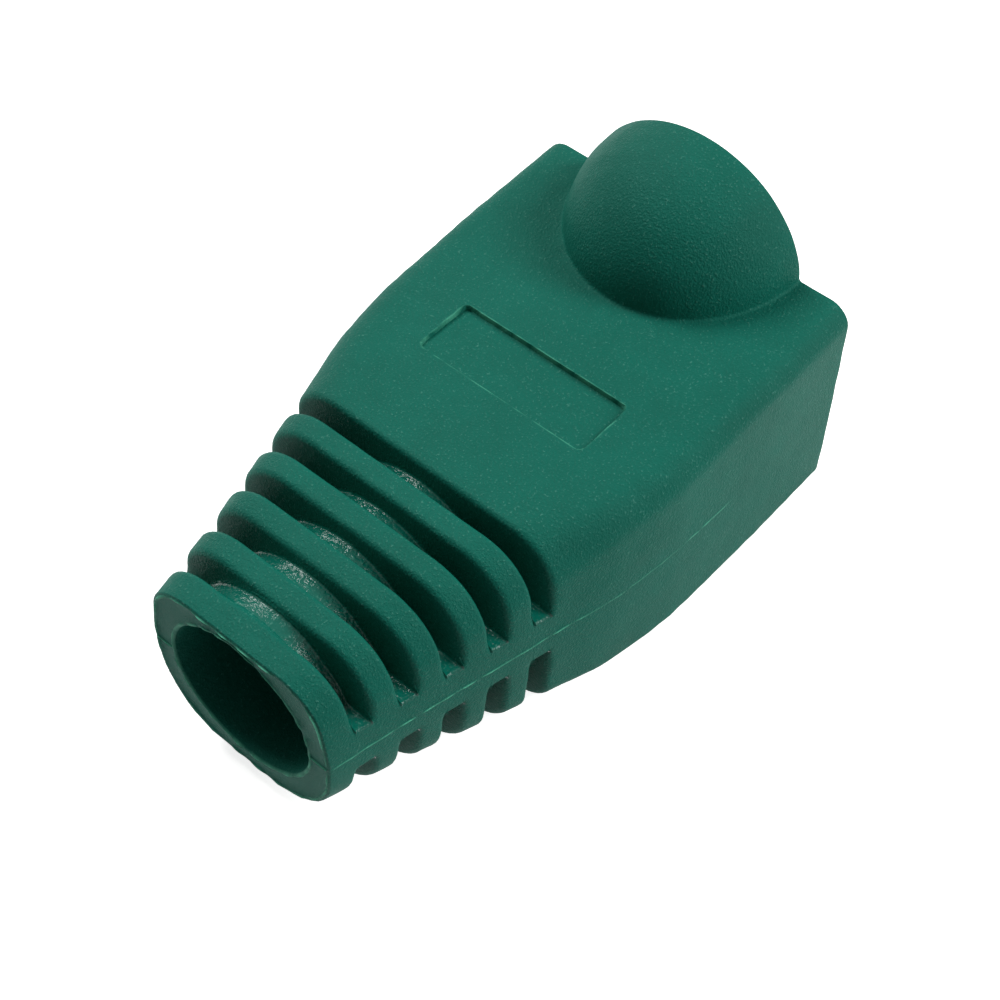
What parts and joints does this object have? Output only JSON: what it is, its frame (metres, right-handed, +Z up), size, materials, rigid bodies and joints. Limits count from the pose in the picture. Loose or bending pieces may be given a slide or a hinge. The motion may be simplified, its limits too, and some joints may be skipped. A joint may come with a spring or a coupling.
{
  "type": "rj45 strain relief boot",
  "caption": "Moulded strain relief boot with a slotted tapering neck, a plug socket and a hollow latch dome.",
  "frame": {"origin": "on the surface that the flat underside rests on, half way between the cable mouth and the plug mouth, on the middle plane", "axes": "+X along the cable axis towards the plug mouth, +Z up, out of the roof that carries the latch dome, +Y across"},
  "size_m": [0.0246, 0.0144, 0.0137],
  "materials": {
    "soft_pvc": "fine spark-eroded grain"
  },
  "bodies": {
    "root": {"boot_moulding": "soft_pvc"}
  },
  "joints": []
}
